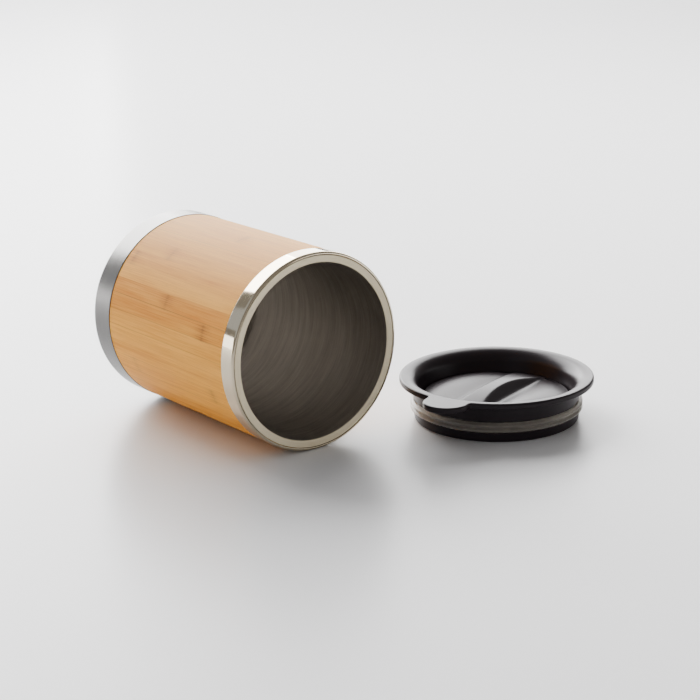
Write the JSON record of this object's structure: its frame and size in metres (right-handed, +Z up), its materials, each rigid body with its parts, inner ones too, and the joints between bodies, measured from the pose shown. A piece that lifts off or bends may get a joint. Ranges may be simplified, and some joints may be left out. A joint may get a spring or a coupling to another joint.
{
  "type": "insulated tumbler with lid",
  "caption": "Double-walled steel tumbler with a bamboo sleeve, polished rim and brushed base, lying on its side beside its black twist lid with a soft gasket and thumb tab.",
  "frame": {"origin": "on the table, under the middle of the box around the cup and its lid", "axes": "+Z up from the table, -Y out of the cup's mouth, +X from the cup towards the lid"},
  "size_m": [0.1682, 0.1656, 0.0838],
  "materials": {
    "liner_steel": "fine circumferential brushing, darkened inside",
    "shell_steel": "plain drawn sheet",
    "bamboo": "satin lacquered bamboo strips",
    "polished_steel": "mirror polished",
    "band_steel": "brushed around the axis",
    "black_plastic": "satin moulded",
    "silicone": "soft translucent silicone",
    "clip_steel": "stamped spring steel"
  },
  "bodies": {
    "cup": {"inner_cup": "liner_steel", "outer_shell": "shell_steel", "bamboo_sleeve": "bamboo", "rim_collar": "polished_steel", "base_cup": "band_steel"},
    "lid": {"lid_shell": "black_plastic", "lid_gasket": "silicone", "pivot_washer": "silicone"},
    "disc": {"twist_disc": "black_plastic", "drink_seal": "silicone", "hub_clip": "clip_steel"}
  },
  "joints": [
    {"name": "lid_lift", "type": "slide", "parent": "cup", "child": "lid", "axis": [0, 0, 1], "range_m": [0, 0.11]},
    {"name": "disc_twist", "type": "hinge", "parent": "lid", "child": "disc", "pos_m": [0.04211, -0.04085, 0], "axis": [0, 0, 1], "range_deg": [0, 120]}
  ]
}
